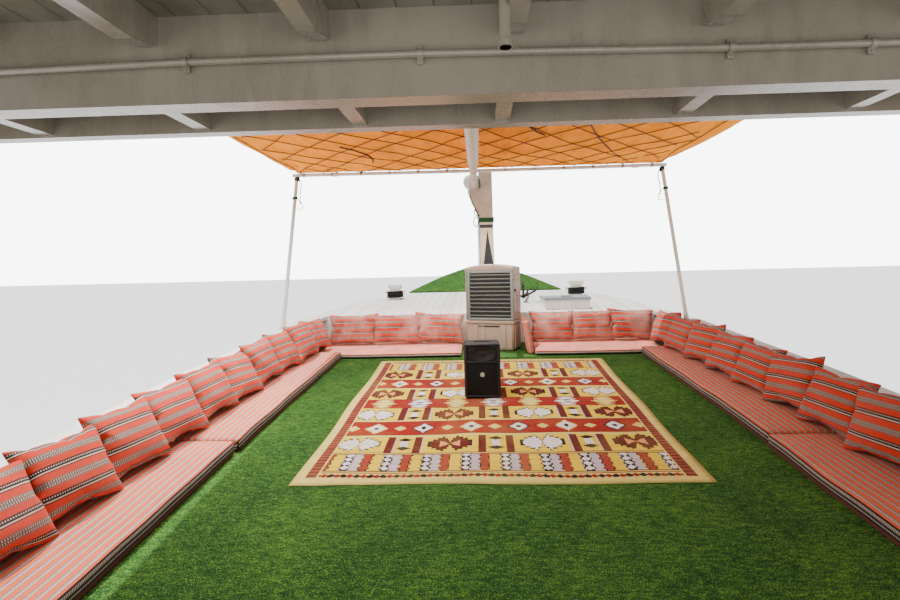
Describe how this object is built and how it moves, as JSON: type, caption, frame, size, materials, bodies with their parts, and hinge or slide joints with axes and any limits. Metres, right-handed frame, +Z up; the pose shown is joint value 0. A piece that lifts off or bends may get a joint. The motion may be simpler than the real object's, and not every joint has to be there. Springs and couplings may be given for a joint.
{
  "type": "passenger dhow",
  "caption": "Wooden passenger dhow afloat: carpeted fore well with floor cushions, raised foredeck with stem fin, upper deck, canopy, cabin, rudder and propeller.",
  "frame": {"origin": "on the waterline, amidships, on the centreline", "axes": "+X forward to the bow, +Y to port, +Z up"},
  "size_m": [19.2953, 5.6968, 7.7699],
  "materials": {
    "dark_wood": "oiled dark planking, worn",
    "white_paint": "white gloss paint over wood, scuffed",
    "cream_paint": "cream gloss paint, worn",
    "beige_paint": "grey beige gloss paint on beams, worn",
    "rail_wood": "varnished red brown turned wood",
    "deck_wood": "scrubbed deck planks",
    "turf": "artificial grass",
    "black_rubber": "black rubber band",
    "iron": "black painted iron",
    "hatch_paint": "blue grey paint",
    "pipe_paint": "white painted steel pipe",
    "canvas": "orange brown canvas",
    "canopy_fabric": "brown canopy cloth",
    "bronze": "cast bronze",
    "machine": "green grey engine paint",
    "door_wood": "varnished wood",
    "seat_fabric": "striped woven wool in red, grey, black and white",
    "rug_wool": "flat woven rug in brick red, yellow and cream",
    "cooler_plastic": "cream moulded housing",
    "speaker_plastic": "black textured housing"
  },
  "bodies": {
    "root": {"hull_planking": "dark_wood", "keel_timber": "dark_wood", "stem_timber": "dark_wood", "stem_fin": "white_paint", "engine_block": "machine", "bulwark": "dark_wood", "cap_rail": "white_paint", "fender_strake_port": "black_rubber", "fender_strake_starboard": "black_rubber", "main_deck": "deck_wood", "turf_carpet": "turf", "foredeck": "white_paint", "peak_turf_port": "turf", "peak_turf_starboard": "turf", "bollard_port": "white_paint", "bollard_starboard": "white_paint", "grapnel_anchor": "iron", "hatch_coaming": "hatch_paint", "king_post": "cream_paint", "ridge_pole": "white_paint", "awning_front_pipe": "pipe_paint", "awning_pole_port": "pipe_paint", "awning_pole_starboard": "pipe_paint", "awning_canvas": "canvas", "upper_deck_planks": "beige_paint", "upper_deck_beams": "beige_paint", "pillars_port": "cream_paint", "pillars_starboard": "cream_paint", "railing_front": "rail_wood", "railing_aft": "rail_wood", "railing_port": "rail_wood", "railing_starboard": "rail_wood", "canopy_frame_port": "pipe_paint", "canopy_frame_starboard": "pipe_paint", "canopy_bows": "pipe_paint", "canopy_cloth": "canopy_fabric", "cabin_wall_front": "cream_paint", "cabin_wall_aft": "cream_paint", "cabin_wall_port": "cream_paint", "cabin_wall_starboard": "cream_paint", "cabin_roof": "cream_paint", "helm_console": "door_wood", "deck_ladder": "cream_paint", "mat_port": "seat_fabric", "mat_starboard": "seat_fabric", "mat_front_port": "seat_fabric", "mat_front_starboard": "seat_fabric", "cushions_port": "seat_fabric", "cushions_starboard": "seat_fabric", "cushions_front_port": "seat_fabric", "cushions_front_starboard": "seat_fabric", "rug": "rug_wool", "air_cooler": "cooler_plastic", "loudspeaker": "speaker_plastic"},
    "rudder": {"rudder": "dark_wood"},
    "propeller": {"propeller": "bronze"},
    "steering_wheel": {"steering_wheel": "door_wood"},
    "cabin_door_port": {"cabin_door_port": "door_wood"},
    "cabin_door_starboard": {"cabin_door_starboard": "door_wood"},
    "hatch_lid": {"hatch_lid": "hatch_paint"}
  },
  "joints": [
    {"name": "rudder_turn", "type": "hinge", "parent": "root", "child": "rudder", "pos_m": [-9.20382, 0, 0], "axis": [-0.1597, 0, 0.9872], "range_deg": [-35, 35]},
    {"name": "propeller_spin", "type": "hinge", "parent": "root", "child": "propeller", "pos_m": [-8.02, 0, -0.86], "axis": [1, 0, 0], "continuous": true},
    {"name": "steering_wheel_turn", "type": "hinge", "parent": "root", "child": "steering_wheel", "pos_m": [-5.33, 0.62, 2.06], "axis": [1, 0, 0], "range_deg": [-420, 420]},
    {"name": "cabin_door_port_swing", "type": "hinge", "parent": "root", "child": "cabin_door_port", "pos_m": [-5.78, 1.464, 2.2], "axis": [0, 0, 1], "range_deg": [0, 100]},
    {"name": "cabin_door_starboard_swing", "type": "hinge", "parent": "root", "child": "cabin_door_starboard", "pos_m": [-5.78, -1.464, 2.2], "axis": [0, 0, 1], "range_deg": [-100, 0]},
    {"name": "hatch_lid_lift", "type": "hinge", "parent": "root", "child": "hatch_lid", "pos_m": [6.17, -1.21, 2.4552], "axis": [0, 1, 0], "range_deg": [0, 100]}
  ],
  "couplings": [
    {"joint": "steering_wheel_turn", "follows": "rudder_turn", "ratio": 12}
  ]
}
